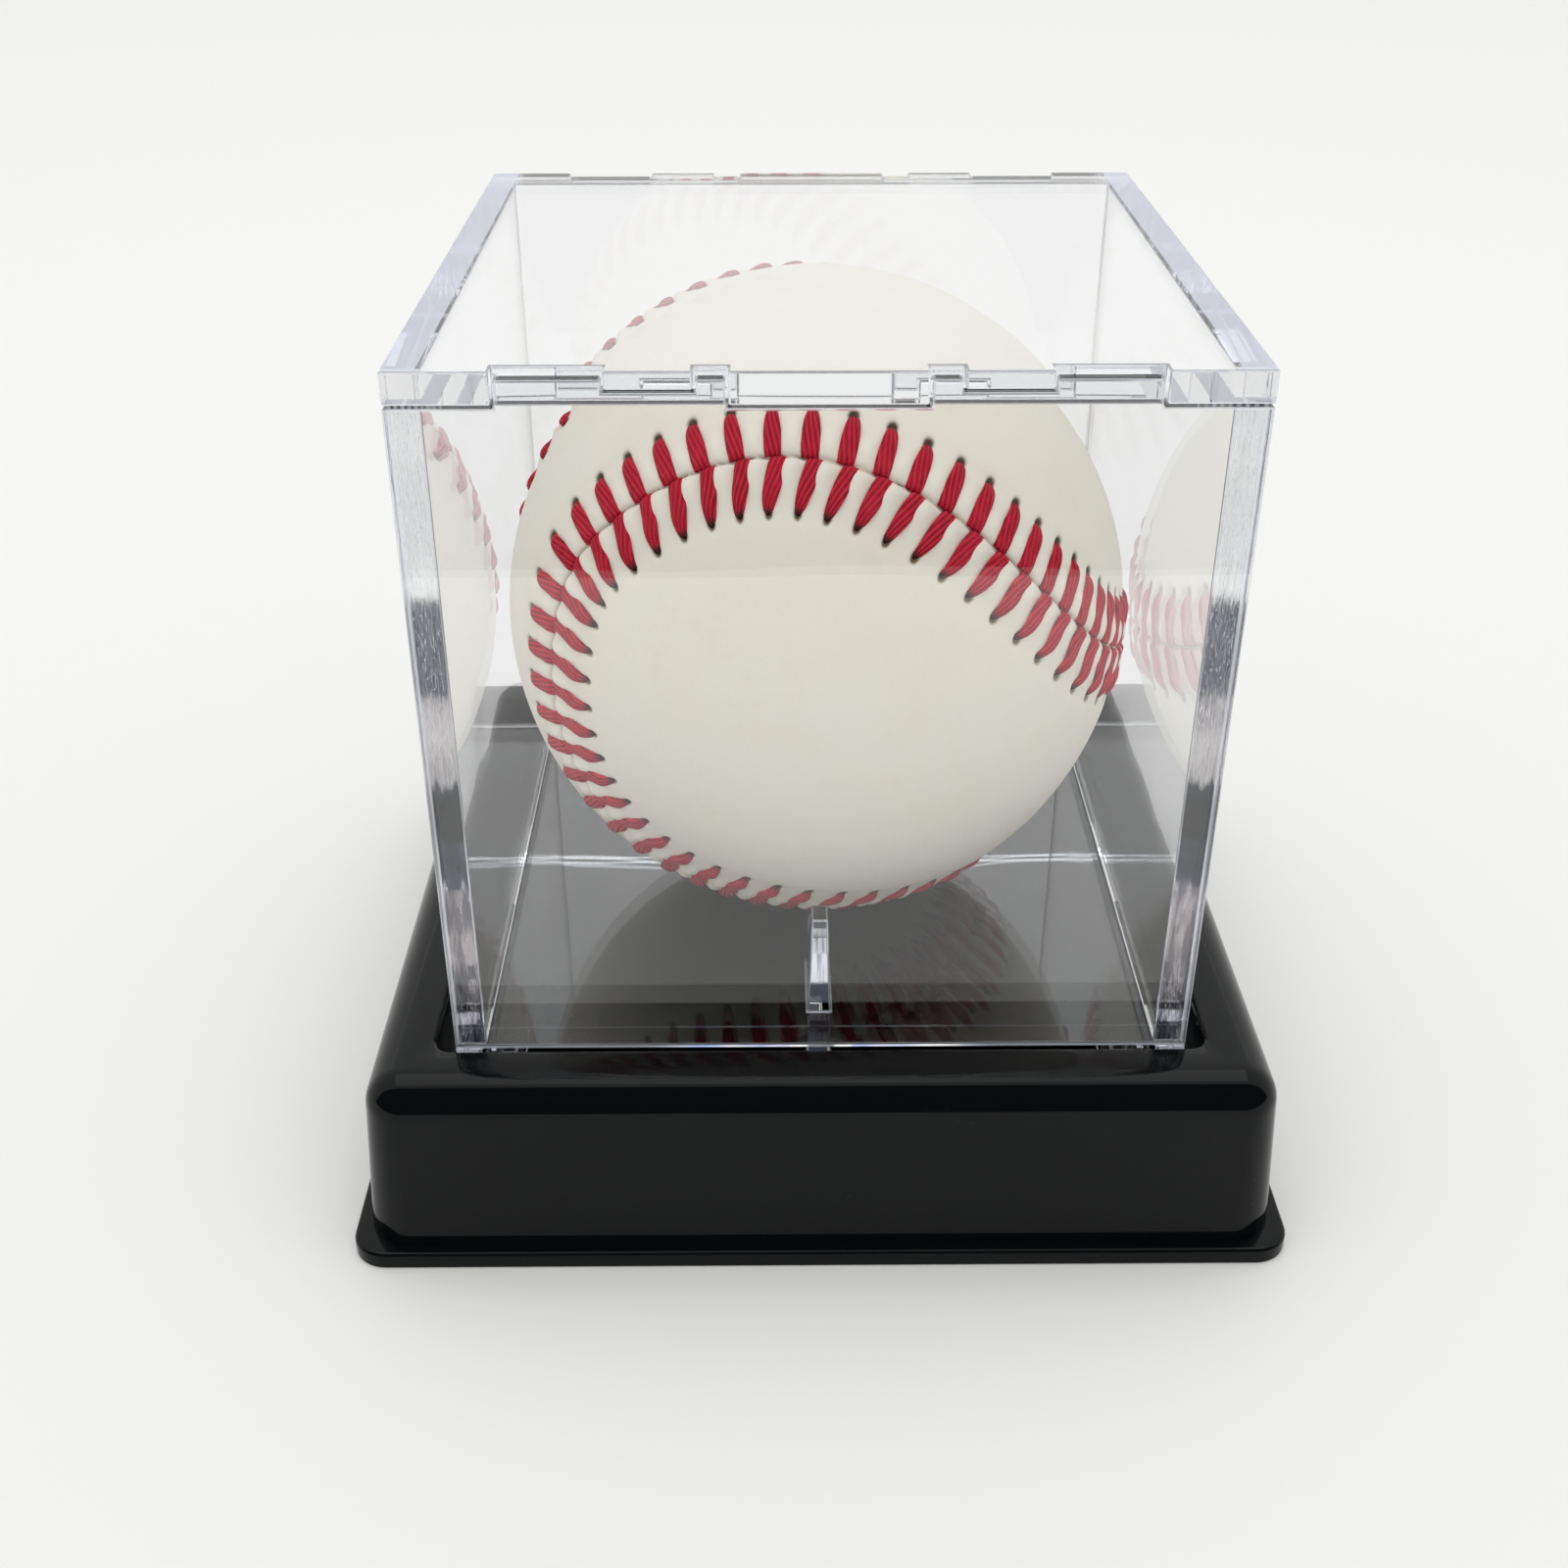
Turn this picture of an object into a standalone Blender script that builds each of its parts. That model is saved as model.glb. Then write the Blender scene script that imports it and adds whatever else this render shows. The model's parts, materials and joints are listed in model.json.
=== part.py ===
"""A clear two-piece display cube for one baseball, on a black moulded base.

The base is a hollow moulding, open underneath, with a thin flange round its foot and a square
pocket in its top. The cube is two U-shaped clear mouldings that plug into each other: the lower
shell is the front wall, floor and back wall, and the cover shell is the left wall, top and right
wall. Tongues on each shell's walls pass through notches in the other shell's plate, and lugs
beside the notches close over the tongues. Two thin ribs on the floor cradle the ball.

Metres, +Z up, the front of the case towards -Y, and the origin at the middle of the foot.
"""

import math

import bmesh
import bpy
from mathutils import Euler, Vector

# Ball
LEATHER_RADIUS = 0.0366
LEATHER_THICKNESS = 0.0012
PILL_RADIUS = 0.0175
SEAM_OVERCUT = 0.00005
SEAM_LATITUDE = 0.400
SEAM_SWAY = 0.408
SEAM_TILT = Euler((math.radians(-61.6), math.radians(-7.6), math.radians(99.5)), "XYZ")
STITCHES = 108
STITCH_REACH = 0.0054
STITCH_LEAN = 0.0006
THREAD_RADIUS = 0.00027
THREAD_LIFT = 0.00025
YARN_END_RADIUS = 0.0008

# Room round the ball in the cube, and the gap between pieces that meet
SIDE_CLEARANCE = 0.00041
HEADROOM = 0.00072
FIT_GAP = 0.0003

# Clear cube
CUBE_WALL = 0.0032
CUBE_FLOOR = 0.0030
TONGUE_START = 0.0095
TONGUE_END = 0.0307
TONGUE_THICKNESS = 0.0016
TONGUE_SETBACK = 0.0008
LUG_START = 0.0125
LUG_END = 0.0206
LUG_THICKNESS = 0.00175

# Cradle ribs on the floor
RIB_WALL_GAP = 0.0063
RIB_DEPTH = 0.0100
RIB_HEIGHT = 0.0129
RIB_FOOT_WIDTH = 0.0028
RIB_TOP_WIDTH = 0.0018
RIB_CHAMFER = 0.0010
RIB_BALL_GAP = 0.0004

# Base moulding
POCKET_CLEARANCE = 0.0020
POCKET_DEPTH = 0.0059
POCKET_CORNER = 0.0020
BASE_HEIGHT = 0.0230
BASE_RIM = 0.0074
BASE_DRAFT = 0.0009
BASE_EDGE_ROUNDING = 0.0043
BASE_CORNER_EXTRA = 0.0002
BASE_WALL = 0.0024
FLANGE_LEDGE = 0.0017
FLANGE_THICKNESS = 0.0020
FLANGE_CORNER = 0.0040

# Fineness of the faceted rounds
CORNER_SEGMENTS = 3
BALL_SEGMENTS = 40
BALL_RINGS = 22
CORE_SEGMENTS = 28
CORE_RINGS = 16
SEAM_STEPS = 90
SEAM_CUT_SIDES = 6
CUTTER_REACH = 0.05

# Worked-out sizes and places
THREAD_PATH_RADIUS = LEATHER_RADIUS + THREAD_LIFT + THREAD_RADIUS
BALL_REACH = THREAD_PATH_RADIUS + THREAD_RADIUS
LEATHER_INSIDE = LEATHER_RADIUS - LEATHER_THICKNESS
FACET_SAG = LEATHER_RADIUS * (2 - math.cos(math.pi / BALL_SEGMENTS) - math.cos(math.pi / BALL_RINGS / 2))
SEAM_CUT_APOTHEM = LEATHER_THICKNESS / 2 + FACET_SAG + SEAM_OVERCUT
SEAM_CUT_RADIUS = SEAM_CUT_APOTHEM / math.cos(math.pi / SEAM_CUT_SIDES)
CUBE_INSIDE = BALL_REACH + SIDE_CLEARANCE
CUBE_HALF = CUBE_INSIDE + CUBE_WALL
TONGUE_INSIDE = CUBE_HALF - TONGUE_THICKNESS
POCKET_WIDTH = 2 * (CUBE_HALF + POCKET_CLEARANCE)
POCKET_FLOOR = BASE_HEIGHT - POCKET_DEPTH
BASE_TOP_WIDTH = POCKET_WIDTH + 2 * BASE_RIM
BASE_FOOT_WIDTH = BASE_TOP_WIDTH + 2 * BASE_DRAFT
BASE_CORNER = BASE_EDGE_ROUNDING + BASE_CORNER_EXTRA
FLANGE_WIDTH = BASE_FOOT_WIDTH + 2 * FLANGE_LEDGE
CUBE_BOTTOM = POCKET_FLOOR + FIT_GAP
FLOOR_TOP = CUBE_BOTTOM + CUBE_FLOOR
BALL_CENTRE = Vector((0.0, 0.0, FLOOR_TOP + FIT_GAP + BALL_REACH))
COVER_UNDERSIDE = BALL_CENTRE.z + BALL_REACH + HEADROOM
CUBE_TOP = COVER_UNDERSIDE + CUBE_WALL
RIB_DISTANCE = CUBE_INSIDE - RIB_WALL_GAP


def clear_scene():
    for obj in list(bpy.data.objects):
        bpy.data.objects.remove(obj, do_unlink=True)


def new_collection(name):
    collection = bpy.data.collections.new(name)
    bpy.context.scene.collection.children.link(collection)
    return collection


clear_scene()
PARTS = new_collection("baseball_display_case")
CUTTERS = new_collection("cutters")


def new_material(name, colour, roughness, metallic=0.0, transmission=0.0):
    material = bpy.data.materials.new(name)
    material.use_nodes = True
    shader = material.node_tree.nodes["Principled BSDF"]
    shader.inputs["Base Color"].default_value = (*colour, 1.0)
    shader.inputs["Roughness"].default_value = roughness
    shader.inputs["Metallic"].default_value = metallic
    shader.inputs["Transmission Weight"].default_value = transmission
    return material


BLACK_PLASTIC = new_material("black_gloss_plastic", (0.012, 0.012, 0.013), 0.12)
CLEAR_LOWER = new_material("clear_plastic_lower", (0.93, 0.96, 0.99), 0.03, transmission=1.0)
CLEAR_COVER = new_material("clear_plastic_cover", (0.93, 0.96, 0.99), 0.03, transmission=1.0)
LEATHER_A = new_material("cream_leather_a", (0.70, 0.67, 0.58), 0.55)
LEATHER_B = new_material("cream_leather_b", (0.70, 0.67, 0.58), 0.55)
RED_THREAD = new_material("red_waxed_thread", (0.55, 0.03, 0.05), 0.50)
GREY_YARN = new_material("grey_wool_yarn", (0.45, 0.44, 0.42), 0.90)
RED_RUBBER = new_material("red_rubber", (0.40, 0.06, 0.05), 0.60)


def add_object(name, mesh, collection, material=None):
    obj = bpy.data.objects.new(name, mesh)
    collection.objects.link(obj)
    if material is not None:
        mesh.materials.append(material)
    if collection is CUTTERS:
        obj.hide_render = True
        obj.display_type = "WIRE"
    return obj


def mesh_from(shape, name):
    bmesh.ops.recalc_face_normals(shape, faces=shape.faces)
    mesh = bpy.data.meshes.new(name)
    shape.to_mesh(mesh)
    shape.free()
    return mesh


def block(name, low, high, collection, material=None):
    """A box between two opposite corners."""
    low, high = Vector(low), Vector(high)
    shape = bmesh.new()
    bmesh.ops.create_cube(shape, size=1.0)
    bmesh.ops.scale(shape, vec=high - low, verts=shape.verts)
    bmesh.ops.translate(shape, vec=(low + high) / 2, verts=shape.verts)
    return add_object(name, mesh_from(shape, name), collection, material)


def rounded_block(name, foot_width, top_width, bottom, top, corner, edge, collection, material=None):
    """A square block with draft, rounded upright corners and, if edge is over 0, a rounded top edge."""
    shape = bmesh.new()
    bmesh.ops.create_cube(shape, size=1.0)
    for vert in shape.verts:
        is_top = vert.co.z > 0
        width = top_width if is_top else foot_width
        vert.co = Vector((vert.co.x * width, vert.co.y * width, top if is_top else bottom))
    upright = [e for e in shape.edges if abs(e.verts[0].co.z - e.verts[1].co.z) > (top - bottom) / 2]
    bmesh.ops.bevel(
        shape, geom=upright, offset=corner, segments=CORNER_SEGMENTS, profile=0.5, affect="EDGES", material=-1
    )
    if edge > 0:
        middle = (top + bottom) / 2
        rim = [e for e in shape.edges if e.is_manifold and all(v.co.z > middle for v in e.verts)]
        bmesh.ops.bevel(
            shape, geom=rim, offset=edge, segments=CORNER_SEGMENTS + 1, profile=0.5, affect="EDGES", material=-1
        )
    return add_object(name, mesh_from(shape, name), collection, material)


def sphere(name, radius, segments, rings, collection, material=None):
    shape = bmesh.new()
    bmesh.ops.create_uvsphere(shape, u_segments=segments, v_segments=rings, radius=radius)
    obj = add_object(name, mesh_from(shape, name), collection, material)
    obj.data.shade_smooth()
    return obj


def combine(target, tool, operation="DIFFERENCE"):
    modifier = target.modifiers.new(tool.name, "BOOLEAN")
    modifier.operation = operation
    modifier.solver = "EXACT"
    modifier.object = tool


def cut_boxes(target, boxes):
    """Cuts each box, a pair of opposite corners, out of the target."""
    for number, (low, high) in enumerate(boxes, 1):
        combine(target, block(f"{target.name}_cut_{number}", low, high, CUTTERS))


def box_on_side(side, along, across, up):
    """A box beside one wall: along the wall, across it away from the centre, and up.

    side is a unit axis pointing at the wall; across and up are (low, high) pairs, and along is a
    pair that may lie on either half of the wall.
    """
    corners = []
    for index in (0, 1):
        if side[0]:
            corners.append(Vector((side[0] * across[index], along[index], up[index])))
        else:
            corners.append(Vector((along[index], side[1] * across[index], up[index])))
    low = Vector(map(min, *corners))
    high = Vector(map(max, *corners))
    return low, high


def halves(start, end):
    """The same stretch on both halves of a wall, as (low, high) pairs."""
    return [(start, end), (-end, -start)]


FRONT_AND_BACK = [(0, -1), (0, 1)]
LEFT_AND_RIGHT = [(-1, 0), (1, 0)]
BEYOND = CUBE_HALF + CUTTER_REACH
ABOVE = CUBE_TOP + CUTTER_REACH
BELOW = CUBE_BOTTOM - CUTTER_REACH


# The base: a flange and a drafted body, a pocket in its top and one hollow under it that leaves
# an even wall round the pocket.
def make_base():
    base = rounded_block(
        "base_tray",
        FLANGE_WIDTH,
        FLANGE_WIDTH,
        0.0,
        FLANGE_THICKNESS,
        FLANGE_CORNER,
        0,
        PARTS,
        BLACK_PLASTIC,
    )
    body = rounded_block(
        "base_body",
        BASE_FOOT_WIDTH,
        BASE_TOP_WIDTH,
        FLANGE_THICKNESS / 2,
        BASE_HEIGHT,
        BASE_CORNER,
        BASE_EDGE_ROUNDING,
        CUTTERS,
    )
    combine(base, body, "UNION")
    pocket = rounded_block(
        "pocket",
        POCKET_WIDTH,
        POCKET_WIDTH,
        POCKET_FLOOR,
        BASE_HEIGHT + CUTTER_REACH,
        POCKET_CORNER,
        0,
        CUTTERS,
    )
    combine(base, pocket)
    hollow = rounded_block(
        "hollow",
        BASE_TOP_WIDTH - 2 * BASE_WALL,
        BASE_TOP_WIDTH - 2 * BASE_WALL,
        -CUTTER_REACH,
        BASE_HEIGHT - BASE_WALL,
        BASE_CORNER - BASE_WALL,
        BASE_EDGE_ROUNDING - BASE_WALL,
        CUTTERS,
    )
    pocket_shell = rounded_block(
        "pocket_shell",
        POCKET_WIDTH + 2 * BASE_WALL,
        POCKET_WIDTH + 2 * BASE_WALL,
        POCKET_FLOOR - BASE_WALL,
        BASE_HEIGHT + CUTTER_REACH,
        POCKET_CORNER,
        0,
        CUTTERS,
    )
    combine(hollow, pocket_shell)
    combine(base, hollow)
    return base


# The lower shell is cut from a block as high as its tongues: the channel between its walls, the
# wall tops down to the cover's underside, and the notches in its floor for the cover's tongues.
def make_lower_shell():
    tongue_top = CUBE_TOP - TONGUE_SETBACK
    wall_top = COVER_UNDERSIDE - FIT_GAP
    lug_room = CUBE_TOP - LUG_THICKNESS - FIT_GAP
    lug_top = CUBE_BOTTOM + LUG_THICKNESS
    shell = block(
        "lower_shell",
        (-CUBE_HALF, -CUBE_HALF, CUBE_BOTTOM),
        (CUBE_HALF, CUBE_HALF, tongue_top),
        PARTS,
        CLEAR_LOWER,
    )
    boxes = [((-BEYOND, -CUBE_INSIDE, FLOOR_TOP), (BEYOND, CUBE_INSIDE, ABOVE))]
    for side in FRONT_AND_BACK:
        boxes.append(box_on_side(side, (-TONGUE_START, TONGUE_START), (0, BEYOND), (wall_top, ABOVE)))
        boxes.append(box_on_side(side, (-BEYOND, BEYOND), (0, TONGUE_INSIDE), (wall_top, ABOVE)))
        for along in halves(TONGUE_END, BEYOND):
            boxes.append(box_on_side(side, along, (0, BEYOND), (wall_top, ABOVE)))
        for along in halves(LUG_START - FIT_GAP, LUG_END + FIT_GAP):
            boxes.append(box_on_side(side, along, (0, BEYOND), (lug_room, ABOVE)))
    notch = (TONGUE_INSIDE - FIT_GAP, BEYOND)
    for side in LEFT_AND_RIGHT:
        for along in halves(TONGUE_START - FIT_GAP, TONGUE_END + FIT_GAP):
            boxes.append(box_on_side(side, along, notch, (lug_top, ABOVE)))
        for along in halves(TONGUE_START - FIT_GAP, LUG_START):
            boxes.append(box_on_side(side, along, notch, (BELOW, ABOVE)))
        for along in halves(LUG_END, TONGUE_END + FIT_GAP):
            boxes.append(box_on_side(side, along, notch, (BELOW, ABOVE)))
    cut_boxes(shell, boxes)
    for name, direction in (("front_rib", -1), ("back_rib", 1)):
        combine(shell, make_rib(name, direction), "UNION")
    return shell


def make_rib(name, direction):
    """A cradle rib: a drafted fin that follows the ball on its inner side."""
    shape = bmesh.new()
    bmesh.ops.create_cube(shape, size=1.0)
    for vert in shape.verts:
        is_top = vert.co.z > 0
        width = RIB_TOP_WIDTH if is_top else RIB_FOOT_WIDTH
        distance = RIB_DISTANCE if vert.co.y > 0 else RIB_DISTANCE - RIB_DEPTH
        height = FLOOR_TOP + RIB_HEIGHT if is_top else FLOOR_TOP - CUBE_FLOOR / 2
        vert.co = Vector((vert.co.x * width, direction * distance, height))
    outer_top = [
        e
        for e in shape.edges
        if all(v.co.z > FLOOR_TOP and abs(v.co.y) > RIB_DISTANCE - RIB_DEPTH / 2 for v in e.verts)
    ]
    bmesh.ops.bevel(
        shape, geom=outer_top, offset=RIB_CHAMFER, segments=1, profile=0.5, affect="EDGES", material=-1
    )
    rib = add_object(name, mesh_from(shape, name), CUTTERS)
    ball_room = sphere(f"{name}_ball_room", BALL_REACH + RIB_BALL_GAP, BALL_SEGMENTS, BALL_RINGS, CUTTERS)
    ball_room.location = BALL_CENTRE
    combine(rib, ball_room)
    return rib


# The cover shell is cut from a block that reaches down to its tongues' tips: the channel between
# its walls, the room for the lower shell's walls, the wall feet and the notches in its top.
def make_cover_shell():
    tongue_tip = CUBE_BOTTOM + TONGUE_SETBACK
    wall_foot = FLOOR_TOP + FIT_GAP
    lug_room = CUBE_BOTTOM + LUG_THICKNESS + FIT_GAP
    lug_foot = CUBE_TOP - LUG_THICKNESS
    shell = block(
        "cover_shell",
        (-CUBE_HALF, -CUBE_HALF, tongue_tip),
        (CUBE_HALF, CUBE_HALF, CUBE_TOP),
        PARTS,
        CLEAR_COVER,
    )
    boxes = [((-CUBE_INSIDE, -BEYOND, BELOW), (CUBE_INSIDE, BEYOND, COVER_UNDERSIDE))]
    for side in FRONT_AND_BACK:
        across = (CUBE_INSIDE - FIT_GAP, BEYOND)
        boxes.append(box_on_side(side, (-BEYOND, BEYOND), across, (BELOW, COVER_UNDERSIDE)))
    for side in LEFT_AND_RIGHT:
        boxes.append(box_on_side(side, (-TONGUE_START, TONGUE_START), (0, BEYOND), (BELOW, wall_foot)))
        boxes.append(box_on_side(side, (-BEYOND, BEYOND), (0, TONGUE_INSIDE), (BELOW, wall_foot)))
        for along in halves(TONGUE_END, BEYOND):
            boxes.append(box_on_side(side, along, (0, BEYOND), (BELOW, wall_foot)))
        for along in halves(LUG_START - FIT_GAP, LUG_END + FIT_GAP):
            boxes.append(box_on_side(side, along, (0, BEYOND), (BELOW, lug_room)))
    notch = (TONGUE_INSIDE - FIT_GAP, BEYOND)
    for side in FRONT_AND_BACK:
        for along in halves(TONGUE_START - FIT_GAP, TONGUE_END + FIT_GAP):
            boxes.append(box_on_side(side, along, notch, (BELOW, lug_foot)))
        for along in halves(TONGUE_START - FIT_GAP, LUG_START):
            boxes.append(box_on_side(side, along, notch, (BELOW, ABOVE)))
        for along in halves(LUG_END, TONGUE_END + FIT_GAP):
            boxes.append(box_on_side(side, along, notch, (BELOW, ABOVE)))
    cut_boxes(shell, boxes)
    return shell


def seam_direction(turn):
    """The seam's unit direction from the ball's centre, for turn from 0 to 1 all the way round."""
    angle = 4 * math.pi * turn
    polar = math.pi / 2 - (math.pi / 2 - SEAM_LATITUDE) * math.cos(angle)
    round_axis = angle / 2 + SEAM_SWAY * math.sin(2 * angle)
    direction = Vector(
        (math.sin(polar) * math.cos(round_axis), math.sin(polar) * math.sin(round_axis), math.cos(polar))
    )
    direction.rotate(SEAM_TILT)
    return direction


def even_turns(count):
    """Turns that split the seam into stretches of equal length."""
    fine = 16 * count
    points = [seam_direction(step / fine) for step in range(fine + 1)]
    run = [0.0]
    for first, second in zip(points, points[1:]):
        run.append(run[-1] + (second - first).length)
    turns = []
    step = 0
    for number in range(count):
        wanted = run[-1] * number / count
        while run[step + 1] < wanted:
            step += 1
        share = (wanted - run[step]) / (run[step + 1] - run[step])
        turns.append((step + share) / fine)
    return turns


def seam_frame(turn):
    """The seam's outward, forward and sideways unit vectors at a turn."""
    ahead = 1e-4
    outward = seam_direction(turn)
    forward = (seam_direction(turn + ahead) - seam_direction(turn - ahead)).normalized()
    return outward, forward, outward.cross(forward)


def tube_along(name, points, radius, sides, collection, material=None):
    """A closed ring of tube through the points, as a mesh."""
    curve = bpy.data.curves.new(name, "CURVE")
    curve.dimensions = "3D"
    curve.bevel_depth = radius
    curve.bevel_resolution = sides // 2 - 2
    spline = curve.splines.new("POLY")
    spline.points.add(len(points) - 1)
    for place, point in zip(spline.points, points):
        place.co = (*point, 1.0)
    spline.use_cyclic_u = True
    guide = bpy.data.objects.new(name, curve)
    collection.objects.link(guide)
    evaluated = guide.evaluated_get(bpy.context.evaluated_depsgraph_get())
    mesh = bpy.data.meshes.new_from_object(evaluated)
    matrix = guide.matrix_world.copy()
    bpy.data.objects.remove(guide, do_unlink=True)
    shape = bmesh.new()
    shape.from_mesh(mesh)
    bmesh.ops.remove_doubles(shape, verts=shape.verts, dist=1e-6)
    bmesh.ops.recalc_face_normals(shape, faces=shape.faces)
    shape.to_mesh(mesh)
    shape.free()
    mesh.name = name
    tube = add_object(name, mesh, collection, material)
    tube.matrix_world = matrix
    return tube


def make_pill(centre):
    pill = sphere("ball_pill", PILL_RADIUS, CORE_SEGMENTS, CORE_RINGS, PARTS, RED_RUBBER)
    pill.parent = centre
    return pill


def make_winding(centre):
    """The yarn ball over the pill, with the small hole that its last end is pulled through."""
    radius = LEATHER_INSIDE - FACET_SAG - FIT_GAP
    winding = sphere("ball_winding", radius, CORE_SEGMENTS, CORE_RINGS, PARTS, GREY_YARN)
    winding.parent = centre
    pill_room = sphere("pill_room", PILL_RADIUS + 2 * FIT_GAP, CORE_SEGMENTS, CORE_RINGS, CUTTERS)
    pill_room.parent = centre
    shape = bmesh.new()
    bmesh.ops.create_cone(
        shape,
        cap_ends=True,
        segments=8,
        radius1=YARN_END_RADIUS,
        radius2=YARN_END_RADIUS,
        depth=LEATHER_RADIUS,
    )
    bmesh.ops.translate(shape, vec=(0, 0, PILL_RADIUS / 2 + LEATHER_RADIUS / 2), verts=shape.verts)
    yarn_end = add_object("yarn_end", mesh_from(shape, "yarn_end"), CUTTERS)
    yarn_end.parent = centre
    combine(winding, pill_room)
    combine(winding, yarn_end)
    return winding


def make_cover_panels(centre):
    """Two leather panels: one hollow sphere parted along the seam."""
    whole = sphere("leather", LEATHER_RADIUS, BALL_SEGMENTS, BALL_RINGS, CUTTERS)
    inside = sphere("leather_inside", LEATHER_INSIDE, BALL_SEGMENTS, BALL_RINGS, CUTTERS)
    middle = (LEATHER_RADIUS + LEATHER_INSIDE) / 2
    path = [seam_direction(turn) * middle for turn in even_turns(SEAM_STEPS)]
    seam = tube_along("seam_cut", path, SEAM_CUT_RADIUS, SEAM_CUT_SIDES, CUTTERS)
    combine(whole, inside)
    combine(whole, seam)
    evaluated = whole.evaluated_get(bpy.context.evaluated_depsgraph_get())
    both = bpy.data.meshes.new_from_object(evaluated)
    panels = []
    for name, material, piece in zip(
        ("ball_cover_a", "ball_cover_b"), (LEATHER_A, LEATHER_B), loose_pieces(both)
    ):
        piece.name = name
        piece.materials.clear()
        panel = add_object(name, piece, PARTS, material)
        panel.data.shade_smooth()
        panel.data.set_sharp_from_angle(angle=math.radians(40))
        panel.parent = centre
        panels.append(panel)
    return panels


def loose_pieces(mesh):
    """The separate closed bodies of a mesh, each as a mesh of its own, the larger first."""
    shape = bmesh.new()
    shape.from_mesh(mesh)
    unseen = set(shape.faces)
    groups = []
    while unseen:
        group = set()
        waiting = [next(face for face in shape.faces if face in unseen)]
        while waiting:
            face = waiting.pop()
            if face in group:
                continue
            group.add(face)
            waiting.extend(near for edge in face.edges for near in edge.link_faces if near not in group)
        unseen -= group
        groups.append({face.index for face in group})
    shape.free()
    groups.sort(key=len, reverse=True)
    pieces = []
    for group in groups:
        part = bmesh.new()
        part.from_mesh(mesh)
        others = [face for face in part.faces if face.index not in group]
        bmesh.ops.delete(part, geom=others, context="FACES")
        piece = bpy.data.meshes.new("piece")
        part.to_mesh(piece)
        part.free()
        pieces.append(piece)
    return pieces


def make_thread(centre):
    """The lacing: one thread that crosses the seam in a slanting zigzag, just over the leather."""
    path = []
    for number, turn in enumerate(even_turns(2 * STITCHES)):
        outward, forward, sideways = seam_frame(turn)
        crossing = outward * LEATHER_RADIUS
        if number % 2:
            path.append(crossing.normalized() * THREAD_PATH_RADIUS)
            continue
        back = -STITCH_LEAN * forward
        for along, across in ((back, -STITCH_REACH), (Vector(), 0.0), (back, STITCH_REACH)):
            point = crossing + along + sideways * across
            path.append(point.normalized() * THREAD_PATH_RADIUS)
    thread = tube_along("ball_thread", path, THREAD_RADIUS, 4, PARTS, RED_THREAD)
    thread.parent = centre
    return thread


def make_ball():
    centre = bpy.data.objects.new("ball_centre", None)
    centre.location = BALL_CENTRE
    PARTS.objects.link(centre)
    make_pill(centre)
    make_winding(centre)
    make_cover_panels(centre)
    make_thread(centre)


make_base()
make_lower_shell()
make_cover_shell()
make_ball()
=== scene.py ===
# %% [markdown]
# # A baseball in a clear display cube
#
# The object is small and quiet: a leather ball in a cube of clear plastic, on a glossy black base.
# Nearly all of its look is light that is bent, mirrored or swallowed, so this lesson spends its
# effort on true wall thicknesses, rounded edges and a simple studio, and then on the one piece
# with handwork in it, the ball. The frame comes first: it holds every size that the pieces share.

# %% The frame and the tools
import json
import math

import bmesh
import bpy
import numpy as np
from mathutils import Euler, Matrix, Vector
from mathutils.kdtree import KDTree


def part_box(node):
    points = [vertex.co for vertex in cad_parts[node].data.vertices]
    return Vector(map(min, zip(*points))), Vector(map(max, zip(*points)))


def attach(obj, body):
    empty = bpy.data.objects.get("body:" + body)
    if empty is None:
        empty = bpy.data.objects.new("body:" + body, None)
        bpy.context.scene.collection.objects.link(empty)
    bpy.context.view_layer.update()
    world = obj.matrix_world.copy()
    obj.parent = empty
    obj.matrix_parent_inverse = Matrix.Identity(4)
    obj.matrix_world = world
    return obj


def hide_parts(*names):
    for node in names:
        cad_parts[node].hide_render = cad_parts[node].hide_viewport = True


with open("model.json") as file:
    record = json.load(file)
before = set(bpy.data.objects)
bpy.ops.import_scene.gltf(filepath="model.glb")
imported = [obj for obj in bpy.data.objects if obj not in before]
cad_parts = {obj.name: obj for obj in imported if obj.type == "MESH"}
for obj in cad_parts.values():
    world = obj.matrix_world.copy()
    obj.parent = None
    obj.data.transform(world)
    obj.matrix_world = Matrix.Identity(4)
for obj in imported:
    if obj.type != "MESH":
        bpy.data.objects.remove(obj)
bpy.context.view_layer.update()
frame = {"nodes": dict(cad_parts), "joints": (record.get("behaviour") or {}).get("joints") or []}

MM = 0.001

# %% [markdown]
# ## Shared sizes
#
# What the frame knows is read from it, so that the looks can't drift from the design: the cube's
# outline, the base's outline and the middle of the ball, which is where the ball's joint turns.
# The small sizes that no box can tell, such as a wall or a corner radius, are named here once.

# %% Sizes read from the frame
BASE_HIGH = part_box("base_tray")[1]
CUBE_LOW, CUBE_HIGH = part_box("cover_shell")
SHELL_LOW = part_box("lower_shell")[0]
BALL_CENTRE = Vector(next(j["pos_m"] for j in frame["joints"] if j["name"] == "ball_turn"))
CUBE_HALF = CUBE_HIGH.x
CUBE_WALL = 3.2 * MM
CUBE_INSIDE = CUBE_HALF - CUBE_WALL
FLOOR_TOP = SHELL_LOW.z + 3.0 * MM
LEATHER_RADIUS = 36.6 * MM
print("cube half width", round(CUBE_HALF / MM, 2), "ball centre", [round(c / MM, 2) for c in BALL_CENTRE])

# %% [markdown]
# ## Shader maths
#
# Materials read better as formulas than as node trees. One small class stands for a value that
# flows between nodes: adding or multiplying two of them adds the Math node for it, and one method
# adds every other kind of node. A finish then is a few lines of arithmetic.


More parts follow.
